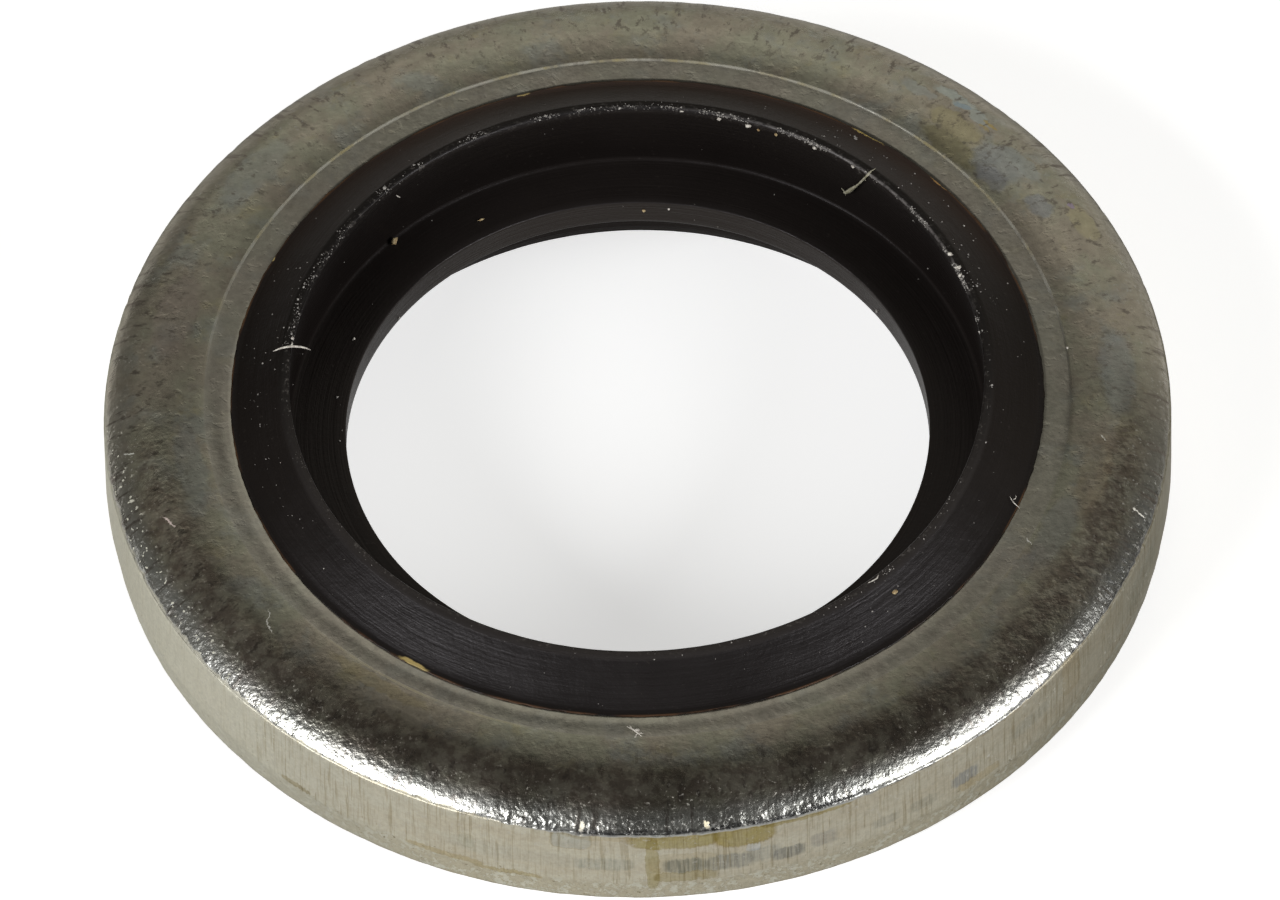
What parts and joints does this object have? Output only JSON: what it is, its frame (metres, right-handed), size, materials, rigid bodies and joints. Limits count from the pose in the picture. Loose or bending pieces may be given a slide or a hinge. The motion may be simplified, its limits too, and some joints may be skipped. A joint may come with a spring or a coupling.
{
  "type": "bonded sealing washer",
  "caption": "Flat steel ring with a rubber seal bonded in its bore: a raised lip on each face and a thin centring web.",
  "frame": {"origin": "on the washer's axis, at the crest of the lower lip, where it rests on a flat surface", "axes": "+Z along the axis, towards the face with the rolled-over rim"},
  "size_m": [0.0158, 0.0158, 0.0029],
  "materials": {
    "zinc_plated_steel": "tumbled, zinc plated, slightly stained",
    "black_rubber": "moulded nitrile rubber, satin, dusty at the crest"
  },
  "bodies": {
    "root": {"steel_ring": "zinc_plated_steel", "rubber_seal": "black_rubber"}
  },
  "joints": []
}
